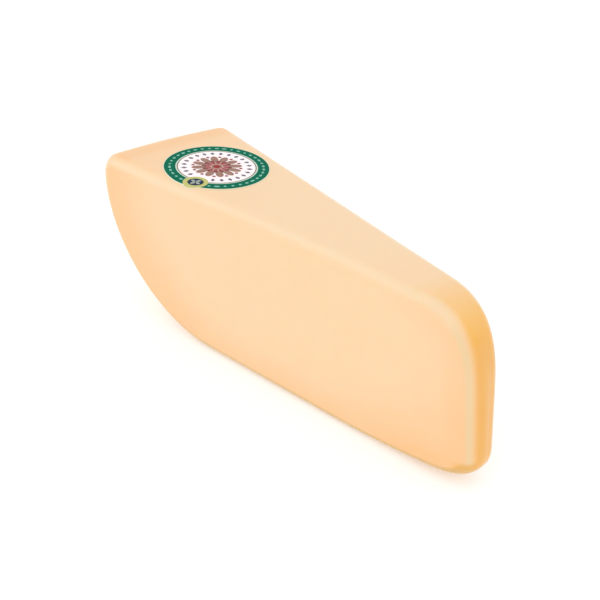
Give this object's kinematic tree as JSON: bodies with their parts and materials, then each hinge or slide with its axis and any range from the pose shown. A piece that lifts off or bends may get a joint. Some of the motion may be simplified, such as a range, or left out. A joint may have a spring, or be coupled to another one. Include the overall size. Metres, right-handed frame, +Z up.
{
  "type": "gouda",
  "caption": "Long blunt wedge of pale yellow gouda cheese with smooth rounded edges, a swept-up rim end and a round paper label on top.",
  "frame": {"origin": "on the resting surface, under the middle of the cheese's bounding box", "axes": "+X along the wedge towards its narrow tip, +Y across it, +Z up through the labelled top"},
  "size_m": [0.302, 0.1018, 0.1103],
  "materials": {
    "cheese": "smooth satin young cheese, pale peach yellow, deeper amber at the tip",
    "label": "printed paper, green border round a white field"
  },
  "bodies": {
    "root": {"cheese": "cheese", "label": "label"}
  },
  "joints": []
}
